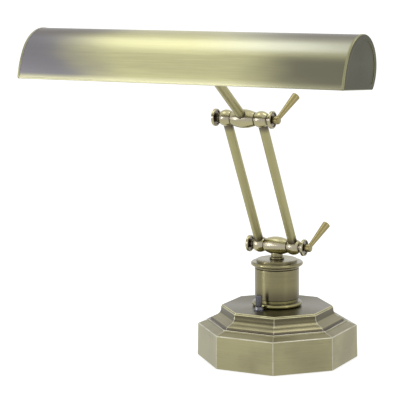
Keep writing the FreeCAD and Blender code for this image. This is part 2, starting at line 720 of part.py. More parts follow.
def make_lever(name, place, bolt_end):
    splay = math.radians(LEVER_OUTWARD)
    lift = math.radians(LEVER_ABOVE_REAR)
    direction = V(math.sin(splay), math.cos(splay) * math.cos(lift), math.cos(splay) * math.sin(lift))
    foot = V(HUB_END - LEVER_STATION, 0, 0)
    floor = bolt_end + FACE_GAP
    hub = along_x(turned([
        (0, floor),
        (BOLT_HOLE, floor),
        (BOLT_HOLE, HUB_START),
        (HUB_RADIUS, HUB_START, EDGE_ROUND),
        (HUB_RADIUS, HUB_END, HUB_ROUND),
        (0, HUB_END),
    ]))
    handle_start = HUB_RADIUS - 2 * EDGE_ROUND
    handle = turned([
        (0, handle_start),
        (LEVER_ROOT_RADIUS, handle_start),
        (LEVER_TIP_RADIUS, LEVER_LENGTH, LEVER_TIP_ROUND),
        (0, LEVER_LENGTH),
    ])
    handle = handle.fuse(rod(LEVER_SPIGOT_RADIUS, LEVER_SPIGOT_FLOOR, handle_start)).removeSplitter()
    handle.Placement = FreeCAD.Placement(foot, FreeCAD.Rotation(Z_AXIS, direction))
    keep(name + "_lever_hub", moved(hub.cut(handle), place))
    keep(name + "_lever", moved(handle, place))


def make_arms(direction):
    start = V(ARM_X, 0, LOWER_Z) + direction * SOCKET_FLOOR
    length = ARM_LENGTH - 2 * SOCKET_FLOOR
    arm = bar(TUBE_RADIUS, start, direction, length)
    arm = arm.cut(bar(TUBE_RADIUS - TUBE_WALL, start, direction, length))
    keep("arm_tube_right", arm)
    keep("arm_tube_left", mirrored(arm))


# ------------------------------------------------------------------ shade
def on_circle(centre, radius, angle):
    return centre + V(0, math.cos(angle), math.sin(angle)) * radius


def section_arc(centre, radius, start, end):
    middle = (start + end) / 2
    points = [on_circle(centre, radius, angle) for angle in (start, middle, end)]
    return Part.Arc(*points).toShape()


def arch_edges(inset, extra=0):
    """Flank, crown and back of the shade section, moved inwards by inset, from front to back.

    With extra the ends stop that much above the edges of the shade.
    """
    front = FRONT_RADIUS - inset
    crown = CROWN_RADIUS - inset
    back = BACK_RADIUS - inset
    front_low = math.pi - math.asin((FRONT_EDGE_Z + extra - FRONT.z) / front)
    back_low = math.asin((BACK_EDGE_Z + extra - BACK.z) / back)
    return [
        section_arc(FRONT, front, front_low, FRONT_MEET),
        section_arc(CROWN, crown, FRONT_MEET, BACK_MEET),
        section_arc(BACK, back, BACK_MEET, back_low),
    ]


def arch_ends(inset, extra=0):
    edges = arch_edges(inset, extra)
    first = edges[0]
    last = edges[-1]
    return first.valueAt(first.FirstParameter), last.valueAt(last.LastParameter)


def strip_face(outer_inset, inner_inset, extra=0):
    """Cross-section of a sheet that follows the arch between two insets."""
    outer = arch_edges(outer_inset, extra)
    inner = arch_edges(inner_inset, extra)
    outer_front, outer_back = arch_ends(outer_inset, extra)
    inner_front, inner_back = arch_ends(inner_inset, extra)
    ends = [Part.LineSegment(outer_back, inner_back).toShape(),
            Part.LineSegment(inner_front, outer_front).toShape()]
    return Part.Face(Part.Wire(outer + [ends[0]] + inner[::-1] + [ends[1]]))


def closed_face(inset, raised):
    """Whole end outline: the arch moved inwards by inset, the opening moved up by raised."""
    front, back = arch_ends(inset, raised)
    edges = arch_edges(inset, raised) + [Part.LineSegment(back, front).toShape()]
    return Part.Face(Part.Wire(edges))


def hem(edge_point, radius, start, length):
    return bar(radius, V(start, edge_point.y, edge_point.z), X_AXIS, length)


def make_shade():
    skin = strip_face(0, SHADE_WALL).extrude(V(2 * CAP_START, 0, 0))
    skin.translate(V(-CAP_START, 0, 0))
    front, back = arch_ends(SHADE_WALL / 2)
    hems = [hem(point, HEM_RADIUS, -CAP_START, 2 * CAP_START) for point in (front, back)]
    skin = skin.fuse(hems).removeSplitter()
    skin = skin.cut(bar(SOCKET_RADIUS, UPPER_JOINT, STEM_DIRECTION, STEM_END))
    keep("shade_skin", skin)

    block = closed_face(-CAP_PROUD, -HEM_RADIUS).extrude(V(CAP_DEPTH, 0, 0))
    block.translate(V(CAP_START, 0, 0))
    corners = [e for e in block.Edges if is_bottom_corner(e)]
    block = block.makeFillet(CAP_CORNER_ROUND, corners)
    rim = [e for e in block.Edges if e.BoundBox.XMin > SHADE_LENGTH / 2 - 1e-4]
    block = block.makeFillet(CAP_EDGE_ROUND, rim)
    pocket = closed_face(CAP_WALL, CAP_WALL).extrude(V(CAP_DEPTH - CAP_FLOOR + 1, 0, 0))
    pocket.translate(V(CAP_START - 1, 0, 0))
    recess = closed_face(CAP_RIM, CAP_RIM).extrude(V(CAP_RECESS + 1, 0, 0))
    recess.translate(V(SHADE_LENGTH / 2 - CAP_RECESS, 0, 0))
    block = block.cut([pocket, recess])
    clear = 2 * HEM_RADIUS
    lip = strip_face(SHADE_WALL + SLIP, CAP_WALL, clear).extrude(V(CAP_LIP_LENGTH + 1, 0, 0))
    lip.translate(V(CAP_START - CAP_LIP_LENGTH, 0, 0))
    cap = block.fuse(lip).removeSplitter()
    keep("end_cap_right", cap)
    keep("end_cap_left", mirrored(cap))


def is_bottom_corner(edge):
    """Straight edge along X at the front or back edge of the shade."""
    box = edge.BoundBox
    return box.XLength > CAP_DEPTH / 2 and box.ZMax < max(FRONT_EDGE_Z, BACK_EDGE_Z) + 1


def make_stem():
    start = UPPER_JOINT + STEM_DIRECTION * SOCKET_FLOOR
    length = STEM_END - SOCKET_FLOOR
    stem = bar(TUBE_RADIUS, start, STEM_DIRECTION, length)
    keep("stem_tube", stem.cut(bar(TUBE_RADIUS - TUBE_WALL, start, STEM_DIRECTION, length)))

    left_end = BACK - V(SHADE_LENGTH / 2, 0, 0)
    wall_outer = bar(BACK_RADIUS + SLIP, left_end, X_AXIS, SHADE_LENGTH)
    wall_inner = bar(BACK_RADIUS - SHADE_WALL - SLIP, left_end, X_AXIS, SHADE_LENGTH)
    cluster_form = bar(CLUSTER_RADIUS + SLIP, LAMP - V(CLUSTER_HALF, 0, 0), X_AXIS, 2 * CLUSTER_HALF)
    hole = bar(SOCKET_RADIUS, UPPER_JOINT, STEM_DIRECTION, STEM_END)

    collar_start = UPPER_JOINT + STEM_DIRECTION * (STEM_TO_WALL - STEM_COLLAR_LENGTH)
    collar = bar(STEM_COLLAR_RADIUS, collar_start, STEM_DIRECTION, 2 * STEM_COLLAR_LENGTH)
    keep("stem_collar", collar.cut(wall_outer).cut(hole))

    spacer_length = STEM_END - STEM_TO_WALL + STEM_COLLAR_LENGTH
    spacer = bar(STEM_SPACER_RADIUS, collar_start, STEM_DIRECTION, spacer_length)
    keep("stem_spacer", spacer.common(wall_inner).cut(cluster_form).cut(hole))


# ------------------------------------------------------------------ lamps
def make_cluster():
    """Block on the end of the stem that carries the two lampholders back to back."""
    block = along_x(turned([
        (0, -CLUSTER_HALF),
        (CLUSTER_RADIUS, -CLUSTER_HALF, EDGE_ROUND),
        (CLUSTER_RADIUS, CLUSTER_HALF, EDGE_ROUND),
        (0, CLUSTER_HALF),
    ]))
    block = moved(block, LAMP)
    block = block.cut(bar(SOCKET_RADIUS, UPPER_JOINT, STEM_DIRECTION, STEM_END))
    nipple_start = SOCKET_RADIUS + BASE_WALL
    nipple_end = CLUSTER_HALF + HOLDER_FLOOR
    nipples = []
    for side in (1, -1):
        start = LAMP + V(side * nipple_start, 0, 0)
        outward = V(side, 0, 0)
        block = block.cut(bar(NIPPLE_RADIUS, start, outward, CLUSTER_HALF))
        nipple = bar(NIPPLE_RADIUS, start, outward, nipple_end - nipple_start)
        nipples.append(nipple.cut(bar(NIPPLE_BORE, start, outward, nipple_end)))
    keep("holder_nipples", *nipples)

    seat = UPPER_JOINT + STEM_DIRECTION * (STEM_END - GRUB_RADIUS * 2)
    across = STEM_DIRECTION.cross(X_AXIS)
    if across.z > 0:
        across = across * -1
    keep("cluster_screw", bar(GRUB_RADIUS, seat + across * SOCKET_RADIUS, across, GRUB_LENGTH))
    block = block.cut(bar(GRUB_RADIUS + SLIP, seat, across, 3 * CLUSTER_RADIUS))
    keep("lamp_cluster", block)


def make_lamp(side):
    """Lampholder and tubular bulb on one side of the cluster."""
    seat = CLUSTER_HALF
    floor = seat + HOLDER_FLOOR
    mouth = seat + HOLDER_LENGTH
    cavity = BULB_BASE_RADIUS + 4 * SLIP
    holder = turned([
        (NIPPLE_RADIUS, seat),
        (HOLDER_RADIUS, seat, 2 * EDGE_ROUND),
        (HOLDER_RADIUS, mouth, EDGE_ROUND),
        (cavity, mouth),
        (cavity, floor),
        (NIPPLE_RADIUS, floor),
    ])
    contact = floor + FACE_GAP
    shell_start = contact + HOLDER_FLOOR
    shell_end = contact + BULB_BASE_LENGTH
    inner = BULB_BASE_RADIUS - BULB_BASE_WALL
    base = turned([
        (0, contact),
        (BULB_CONTACT_RADIUS, contact, EDGE_ROUND),
        (BULB_BASE_RADIUS, shell_start),
        (BULB_BASE_RADIUS, shell_end),
        (inner, shell_end),
        (inner, shell_start + BULB_BASE_WALL),
        (0, shell_start + BULB_BASE_WALL),
    ])
    neck = inner - SLIP
    glass_start = shell_end - BULB_NECK_LENGTH / 2
    shoulder = shell_end + BULB_NECK_LENGTH
    tip = contact + BULB_LENGTH
    glass = turned([
        (neck - BULB_GLASS, glass_start),
        (neck, glass_start),
        (neck, shell_end, BULB_NECK_LENGTH / 4),
        (BULB_RADIUS, shoulder, BULB_NECK_LENGTH / 4),
        (BULB_RADIUS, tip, BULB_RADIUS * 0.8),
        (0, tip),
        (0, tip - BULB_GLASS),
        (BULB_RADIUS - BULB_GLASS, tip - BULB_GLASS, BULB_RADIUS * 0.8 - BULB_GLASS),
        (BULB_RADIUS - BULB_GLASS, shoulder, BULB_NECK_LENGTH / 4),
        (neck - BULB_GLASS, shell_end, BULB_NECK_LENGTH / 4),
    ])
    pieces = {"lampholder": holder, "bulb_base": base, "bulb_glass": glass}
    for name, piece in pieces.items():
        piece = along_x(piece)
        if side == "left":
            piece = mirrored(piece)
        keep(name + "_" + side, moved(piece, LAMP))


# ------------------------------------------------------------------ switch
def make_switch():
    place = V(SWITCH_X, SWITCH_Y, 0)
    bore = SWITCH_SHAFT_RADIUS + RUNNING
    bushing_top = BASE_TOP_Z + SWITCH_BUSHING_HEIGHT
    body_z = CEILING_Z - SWITCH_BODY_HEIGHT
    pocket_z = CEILING_Z - SWITCH_BODY_HEIGHT / 2
    body = turned([
        (0, body_z),
        (SWITCH_BODY_RADIUS, body_z, EDGE_ROUND),
        (SWITCH_BODY_RADIUS, CEILING_Z, EDGE_ROUND),
        (SWITCH_BUSHING_RADIUS, CEILING_Z),
        (SWITCH_BUSHING_RADIUS, bushing_top),
        (bore, bushing_top),
        (bore, pocket_z),
        (0, pocket_z),
    ])
    keep("switch_body", moved(body, place))
    nut_z = BASE_TOP_Z + SWITCH_WASHER_THICKNESS
    washer = tube(SWITCH_WASHER_RADIUS, SWITCH_BUSHING_RADIUS + SLIP, BASE_TOP_Z, nut_z)
    keep("switch_washer", moved(washer, place))
    nut_top = nut_z + SWITCH_NUT_HEIGHT
    nut = turned([
        (SWITCH_BUSHING_RADIUS, nut_z),
        (SWITCH_NUT_RADIUS, nut_z, EDGE_ROUND),
        (SWITCH_NUT_TOP_RADIUS, nut_top, EDGE_ROUND),
        (SWITCH_BUSHING_RADIUS, nut_top),
    ])
    flute = rod(SWITCH_NUT_FLUTE_RADIUS, nut_z - 1, nut_top + 1)
    nut = nut.cut(around(SWITCH_NUT_FLUTES, SWITCH_NUT_RADIUS, flute))
    keep("switch_nut", moved(nut, place))

    knob_z = bushing_top + KNOB_LIFT
    knob_top = knob_z + KNOB_HEIGHT
    shaft_top = knob_z + KNOB_HEIGHT * 0.6
    shaft = rod(SWITCH_SHAFT_RADIUS, pocket_z + FACE_GAP, shaft_top)
    keep("switch_shaft", moved(shaft, place))
    knob = turned([
        (SWITCH_SHAFT_RADIUS, knob_z),
        (KNOB_RADIUS, knob_z, EDGE_ROUND),
        (KNOB_RADIUS, knob_top, EDGE_ROUND),
        (0, knob_top),
        (0, shaft_top),
        (SWITCH_SHAFT_RADIUS, shaft_top),
    ])
    flute = rod(KNOB_FLUTE_RADIUS, knob_z - 1, knob_top - 3 * EDGE_ROUND)
    keep("switch_knob", moved(knob.cut(around(KNOB_FLUTES, KNOB_RADIUS, flute)), place))


# ------------------------------------------------------------------ assembly
def build():
    keep("base_shell", make_base_shell())
    make_underside()
    make_ballast()
    make_cord_bushing()
    make_column()
    make_swivel(moved(centre_barrel(0), LOWER_JOINT))

    arm_direction = (UPPER_JOINT - LOWER_JOINT).normalize()
    down = Z_AXIS * -1
    neck_socket = (down, NECK_SOCKET_FLOOR, NECK_SPIGOT_RADIUS + SLIP)
    stem_socket = (STEM_DIRECTION, SOCKET_FLOOR, SOCKET_RADIUS)
    make_joint("lower", LOWER_JOINT, arm_direction, [neck_socket])
    make_joint("upper", UPPER_JOINT, arm_direction * -1, [stem_socket])
    make_arms(arm_direction)

    make_shade()
    make_stem()
    make_cluster()
    make_lamp("right")
    make_lamp("left")
    make_switch()


build()
os.makedirs("parts", exist_ok=True)
for node, shape in NODES.items():
    shape.exportStep("parts/" + node + ".step")
print(len(NODES), "nodes")
print("clamp axes at", LOWER_JOINT, UPPER_JOINT)
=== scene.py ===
"""Looks of the piano lamp: its materials, soft studio light, a pale floor and the camera."""
import math

import bpy
from mathutils import Matrix, Vector

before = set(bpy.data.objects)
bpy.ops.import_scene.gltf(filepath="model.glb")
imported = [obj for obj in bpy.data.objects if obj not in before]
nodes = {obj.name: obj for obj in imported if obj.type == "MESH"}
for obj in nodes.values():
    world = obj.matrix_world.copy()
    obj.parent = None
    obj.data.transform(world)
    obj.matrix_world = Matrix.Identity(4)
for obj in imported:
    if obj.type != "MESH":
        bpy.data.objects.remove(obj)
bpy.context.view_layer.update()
scene = bpy.context.scene

MM = 0.001

# ---------------------------------------------------------------- camera
# fitted to the photograph; angles in degrees, place in metres
CAMERA_YAW = 28.13
CAMERA_PITCH = 9.14
CAMERA_ROLL = -0.63
CAMERA_PLACE = (0.77662, -1.6294, 0.46512)
CAMERA_LENS = 151.24
CAMERA_SENSOR = 36
CAMERA_REACH = 50


def make_camera():
    data = bpy.data.cameras.new("camera")
    data.lens = CAMERA_LENS
    data.sensor_width = CAMERA_SENSOR
    data.clip_end = CAMERA_REACH
    camera = bpy.data.objects.new("camera", data)
    scene.collection.objects.link(camera)
    yaw, pitch, roll = (math.radians(angle) for angle in (CAMERA_YAW, CAMERA_PITCH, CAMERA_ROLL))
    camera.matrix_world = (
        Matrix.Translation(CAMERA_PLACE)
        @ Matrix.Rotation(yaw, 4, "Z")
        @ Matrix.Rotation(math.pi / 2 - pitch, 4, "X")
        @ Matrix.Rotation(roll, 4, "Z")
    )
    scene.camera = camera


make_camera()


# ---------------------------------------------------------------- node helpers
class Tree:
    """A short way to write a node tree."""

    def __init__(self, tree):
        self.tree = tree
        self.tree.nodes.clear()

    def add(self, kind, inputs=None, **settings):
        node = self.tree.nodes.new(kind)
        for key, value in settings.items():
            setattr(node, key, value)
        for key, value in (inputs or {}).items():
            self.feed(node.inputs[key], value)
        return node

    def feed(self, socket, value):
        """Link the socket to another one, or set it to a plain value."""
        if isinstance(value, bpy.types.NodeSocket):
            self.tree.links.new(value, socket)
        else:
            socket.default_value = value

    def math(self, operation, a, b=0.0, clamp=False):
        return self.add("ShaderNodeMath", {0: a, 1: b}, operation=operation, use_clamp=clamp).outputs[0]

    def times(self, *factors):
        product = factors[0]
        for factor in factors[1:]:
            product = self.math("MULTIPLY", product, factor)
        return product

    def span(self, value, low, high, to_low=0.0, to_high=1.0, kind="LINEAR"):
        """Map low..high to to_low..to_high, and hold the ends."""
        return self.add("ShaderNodeMapRange", {
            "Value": value, "From Min": low, "From Max": high, "To Min": to_low, "To Max": to_high,
        }, interpolation_type=kind).outputs["Result"]

    def step(self, value, low, high):
        """Smooth step from 0 at low to 1 at high; low may be the larger of the two."""
        return self.span(value, low, high, kind="SMOOTHSTEP")

    def band(self, value, rise, fall):
        """1 between two smooth steps, each given as where it starts and where it ends."""
        return self.times(self.step(value, rise[0], rise[1]), self.step(value, fall[1], fall[0]))

    def bump(self, value, centre, inner, outer):
        """1 within inner of the centre, fading to 0 at outer."""
        off = self.math("ABSOLUTE", self.math("SUBTRACT", value, centre))
        return self.step(off, outer, inner)

    def mix(self, factor, a, b, blend="MIX"):
        node = self.add("ShaderNodeMix", data_type="RGBA", blend_type=blend)
        factor_socket, a_socket, b_socket = node.inputs[0], node.inputs[6], node.inputs[7]
        self.feed(factor_socket, factor)
        for socket, colour in ((a_socket, a), (b_socket, b)):
            self.feed(socket, colour if isinstance(colour, bpy.types.NodeSocket) else (*colour, 1.0))
        return node.outputs[2]

    def paint(self, face, mask, strength, colour):
        """Lay a colour over the face where the mask is, at most at the given strength."""
        return self.mix(self.times(mask, strength), face, colour)

    def grey(self, value):
        return self.add("ShaderNodeCombineColor", {"Red": value, "Green": value, "Blue": value}).outputs[0]

    def parts(self, vector):
        return self.add("ShaderNodeSeparateXYZ", {"Vector": vector}).outputs

    def length(self, a, b):
        return self.math("SQRT", self.math("ADD", self.times(a, a), self.times(b, b)))

    def vector(self, operation, a, b, output="Vector"):
        return self.add("ShaderNodeVectorMath", {0: a, 1: b}, operation=operation).outputs[output]

    def dot(self, a, b):
        return self.vector("DOT_PRODUCT", a, b, "Value")

    def noise(self, vector, scale, detail=3.0, rough=0.55, stretch=None, shift=(0, 0, 0)):
        if stretch or shift != (0, 0, 0):
            vector = self.add("ShaderNodeMapping", {
                "Vector": vector, "Scale": stretch or (1, 1, 1), "Location": shift,
            }).outputs[0]
        return self.add("ShaderNodeTexNoise", {
            "Vector": vector, "Scale": scale, "Detail": detail, "Roughness": rough,
        }).outputs["Fac"]


def new_material(name):
    material = bpy.data.materials.new(name)
    material.use_nodes = True
    return material, Tree(material.node_tree)


def rgb(r, g, b):
    """A colour given as it looks on a screen, 0 to 255."""
    def linear(c):
        c /= 255
        return c / 12.92 if c <= 0.04045 else ((c + 0.055) / 1.055) ** 2.4
    return linear(r), linear(g), linear(b)


# ---------------------------------------------------------------- colours of the antique finish, and of the painted shade, highlights and reflections
BRASS = rgb(178, 175, 133)
# dark clouds in the finish, and painted shade
BRASS_DARK = rgb(84, 76, 64)
# pale wear on edges; on the base's lines it is a painted highlight too
BRASS_WORN_HIGHLIGHT = rgb(236, 234, 224)
# a pale band along the shade's hem: a painted reflection
HEM_REFLECTION = rgb(232, 230, 192)
# the base's upper worn lines, a painted highlight too
LIP_WORN_HIGHLIGHT = rgb(226, 221, 178)
# painted shade, highlights and reflections
CREVICE_SHADE = rgb(62, 52, 42)
GREY_END_SHADE = rgb(118, 116, 119)
BROWN_PATCH_SHADE = rgb(106, 104, 86)
SILVER_HIGHLIGHT = rgb(186, 188, 180)
CAP_FACE_SHADE = rgb(74, 73, 54)
COVE_SHADE = rgb(80, 75, 58)
GROOVE_SHADE = rgb(78, 70, 60)
PLATE_SHADE = rgb(94, 89, 66)
BELT_REFLECTION = rgb(158, 149, 149)
SOCKET_SHADE = rgb(92, 82, 78)
RING_TOP_SHADE = rgb(76, 70, 54)
# the enamel lining inside the shade
ENAMEL = rgb(236, 233, 222)

# ---------------------------------------------------------------- places on the CAD model, in metres
# the shade: a point in the middle of its hollow, half its length, and the middle height of the pale band
# painted along its hem as a reflection
SHADE_CENTRE = (0, -0.18406, 0.34119)
SHADE_HALF = 0.1778
HEM = 0.3185
# the shade along x: where the paint of each end starts, and where it is full; the ends carry painted shade
# and a painted highlight, and the crest's painted shade is on both sides
GREY_END = (-0.045, -0.150)
BROWN_END = (0.030, 0.155)
SILVER_END = (0.0, 0.12)
CREST_ENDS = (0.03, 0.14)
# the shade by height, in the same way
FLANK = (0.3560, 0.3425)
SILVER_RISE = (0.3480, 0.3560)
CREST = (0.3590, 0.3679)
UNDER_HEM = (0.3166, 0.3156)
# the base: its worn edges, also painted as highlights, from the top plate down to the wall's shoulder, and
# the foot of the wall, where the wall's painted shade is full
BASE_TOP = 0.0576
LIP = 0.0559
LEDGE = 0.0416
SHOULDER = 0.0363
WALL_FOOT = 0.004
# the base by height: where each band of painted shade fades in, and where it fades out
COVE = (0.0480, 0.0496), (0.0554, 0.0558)
BULGE = (0.0434, 0.0446), (0.0478, 0.0494)
GROOVE = (0.0411, 0.0415), (0.0428, 0.0442)
LEDGE_FACE = (SHOULDER, SHOULDER + 0.6 * MM), (0.0414, 0.0420)
# the seam above the lip, painted as a dark shaded line, and the rise over which the worn, highlighted lines
# turn yellower
SEAM = 0.0566
YELLOW_RISE = (0.0500, 0.0540)
# the base by its distance out along a flat: where the paint starts, and where it is full
GROOVE_OUT = (0.0712, 0.0704)
PLATE_OUT = (0.0559, 0.0550)
EDGES_OUT = (0.0552, 0.0555)
# the column's foot by height, where painted shade sets in and where it is full, the joint axes as y and z,
# and how near them the tubes are painted in shade
COLUMN_FOOT = (0.0830, 0.0680)
JOINT_AXES = (0.0, 0.1239), (-0.07826, 0.27109)
TUBE_SOCKET = (0.0165, 0.0090)


# ---------------------------------------------------------------- painted shade, highlights and reflections, and wear: recolours a face by place
def shade_painted_light(t, place, normal, face):
    """Painted shade at the grey and brown ends, the crest and under the hem; a painted silver highlight and
    hem reflection.
    """
    x, _, z = t.parts(place)
    drift = t.span(t.noise(place, 9, 2, 0.5, (1, 3, 3)), 0.3, 0.7, -22 * MM, 22 * MM)
    along = t.math("ADD", x, drift)
    rim = t.bump(z, HEM, 2.0 * MM, 8.5 * MM)
    left = t.times(t.step(along, *GREY_END), t.span(rim, 0, 1, 1.0, 0.15))
    on_flank = t.span(t.step(z, *FLANK), 0, 1, 0.3, 1.0)
    right = t.times(t.step(along, *BROWN_END), on_flank, t.span(rim, 0, 1, 1.0, 0.75))
    silver = t.times(t.step(x, *SILVER_END), t.step(z, *SILVER_RISE))
    # a pale painted reflection along the hem
    face = t.paint(face, rim, 0.5, HEM_REFLECTION)
    # a painted silver highlight high on the right
    face = t.paint(face, silver, 0.6, SILVER_HIGHLIGHT)
    # grey left end and brown patch low on the right: painted shade
    face = t.mix(left, face, GREY_END_SHADE)
    face = t.mix(right, face, BROWN_PATCH_SHADE)
    # painted shade on the crest's ends and under the hem
    ends = t.step(t.math("ABSOLUTE", x), *CREST_ENDS)
    crest = t.times(t.step(z, *CREST), t.span(ends, 0, 1, 0.0, 0.85))
    crest_and_hem_shade = t.math("MAXIMUM", crest, t.times(t.step(z, *UNDER_HEM), 0.5))
    return t.mix(crest_and_hem_shade, face, BRASS_DARK)


def end_cap_shade(t, place, normal, face):
    """Paints the flat face of an end cap dark inside its rim: painted shade standing in for a dark
    reflection.
    """
    flat = t.step(t.math("ABSOLUTE", t.parts(normal)[0]), 0.75, 0.95)
    return t.mix(flat, face, CAP_FACE_SHADE)


def octagon(t, place):
    """Distance out along the nearest flat, and distance to the nearest mitre line."""
    x, y, _ = t.parts(place)
    half_side = math.pi / 8
    out = t.length(x, y)
    swing = t.math("PINGPONG", t.math("ARCTAN2", y, x), half_side)
    apothem = t.times(out, t.math("COSINE", swing))
    mitre = t.times(out, t.math("SINE", t.math("SUBTRACT", half_side, swing)))
    return apothem, mitre


def worn_highlight_lines(t, place, z, apothem, mitre, groove):
    """Pale lines along the base's mouldings and mitres, uneven: worn edges that are painted highlights too.
    """
    wobble = t.span(t.noise(place, 60, 2, 0.6), 0.3, 0.7, 0.2, 0.6)
    lines = 0.0
    for height in (BASE_TOP, LIP, LEDGE, SHOULDER):
        lines = t.math("MAXIMUM", lines, t.bump(z, height - 0.1 * MM, 0.2 * MM, 0.6 * MM))
    outer = t.step(apothem, *EDGES_OUT)
    lines = t.times(lines, outer, t.math("SUBTRACT", 1.0, groove))
    mitres = t.times(t.step(mitre, 0.8 * MM, 0.2 * MM), outer)
    return t.times(t.math("MAXIMUM", lines, t.times(mitres, 0.8)), wobble)


def base_shade_and_wear(t, place, normal, face):
    """Painted shade on the wall's foot, bulge, ledge, cove, groove, seam and top plate, and pale lines of
    wear and painted highlight.
    """
    z = t.parts(place)[2]
    apothem, mitre = octagon(t, place)
    groove = t.times(t.band(z, *GROOVE), t.step(apothem, *GROOVE_OUT))
    seam = t.bump(z, SEAM, 0.2 * MM, 0.6 * MM)
    plate = t.times(t.step(z, BASE_TOP - 0.5 * MM, BASE_TOP - 0.1 * MM), t.step(apothem, *PLATE_OUT))
    # painted shade on the wall's foot, the bulge, the ledge, the cove, the groove and seam, and the top plate
    face = t.paint(face, t.step(z, SHOULDER, WALL_FOOT), 0.12, BRASS_DARK)
    face = t.paint(face, t.band(z, *BULGE), 0.4, BRASS_DARK)
    face = t.paint(face, t.band(z, *LEDGE_FACE), 0.3, BRASS_DARK)
    face = t.paint(face, t.band(z, *COVE), 0.9, COVE_SHADE)
    face = t.paint(face, t.math("MAXIMUM", groove, t.times(seam, 0.7)), 0.85, GROOVE_SHADE)
    face = t.paint(face, plate, 0.95, PLATE_SHADE)
    # pale lines: wear and painted highlights together
    pale = t.mix(t.step(z, *YELLOW_RISE), BRASS_WORN_HIGHLIGHT, LIP_WORN_HIGHLIGHT)
    return t.mix(worn_highlight_lines(t, place, z, apothem, mitre, groove), face, pale)


def column_foot_shade(t, place, normal, face):
    """Painted shade, darker towards the foot."""
    return t.paint(face, t.step(t.parts(place)[2], *COLUMN_FOOT), 0.6, BRASS_DARK)


def joint_belt_reflection(t, place, normal, face):
    """A greyer belt round the turned barrels: a painted reflection."""
    return t.paint(face, t.bump(t.parts(normal)[2], 0.12, 0.12, 0.45), 0.5, BELT_REFLECTION)


def tube_socket_shade(t, place, normal, face):
    """Painted shade where the tubes enter the barrels."""
    _, y, z = t.parts(place)
    dark = 0.0
    for axis_y, axis_z in JOINT_AXES:
        reach = t.length(t.math("SUBTRACT", y, axis_y), t.math("SUBTRACT", z, axis_z))
        dark = t.math("MAXIMUM", dark, t.step(reach, *TUBE_SOCKET))
    return t.paint(face, dark, 0.8, SOCKET_SHADE)


def ring_top_shade(t, place, normal, face):
    """Painted shade on the upward faces, in the groove on top; the round keeps the ring's colour."""
    return t.paint(face, t.step(t.parts(normal)[2], 0.55, 0.8), 0.8, RING_TOP_SHADE)


# ---------------------------------------------------------------- lining: 1 where a face is enamelled
def shade_lining(t, place, normal):
    """The faces that look into the hollow."""
    outward = t.vector("MULTIPLY", t.vector("SUBTRACT", place, SHADE_CENTRE), (0, 1, 1))
    return t.math("LESS_THAN", t.dot(outward, normal), 0.0)


def cap_lining(t, place, normal):
    """The inner faces of the end caps."""
    x = t.parts(place)[0]
    away = t.times(x, t.parts(normal)[0])
    deep = t.math("LESS_THAN", t.math("ABSOLUTE", x), SHADE_HALF - 1.5 * MM)
    return t.times(t.math("LESS_THAN", away, -0.01), deep)


# ---------------------------------------------------------------- materials
def brushed_grain(t, place, stretch):
    """Coarse grain from 0 to 1, and coarse and fine grain together as streaks from -1 to 1."""
    grain = t.noise(place, 14, 4, 0.6, stretch)
    fine = t.noise(place, 46, 2, 0.6, stretch, (0.3, 0.1, 0.7))
    streaks = t.math("ADD", t.span(grain, 0.3, 0.7, -0.5, 0.5), t.span(fine, 0.3, 0.7, -0.5, 0.5))
    return grain, streaks


def paint_crevice_shade(t, face, reach):
    """Painted shade: darken where other metal closer than reach hems the face in."""
    open_air = t.add("ShaderNodeAmbientOcclusion", {"Distance": reach}, samples=24).outputs["AO"]
    return t.mix(t.span(open_air, 0.4, 0.95, 0.95, 0.0), face, CREVICE_SHADE)


def rubbed_edges(t, face, soft, edge, wear):
    """Pale wear along the outer edges, where the bevelled normal leaves the true one."""
    sharp = t.dot(soft, t.add("ShaderNodeNewGeometry").outputs["Normal"])
    inside = t.add("ShaderNodeAmbientOcclusion", {"Distance": 2 * edge}, samples=8, inside=True).outputs["AO"]
    rubbed = t.times(t.step(sharp, 0.995, 0.94), t.step(inside, 0.95, 0.7), wear)
    return t.mix(rubbed, face, BRASS_WORN_HIGHLIGHT)


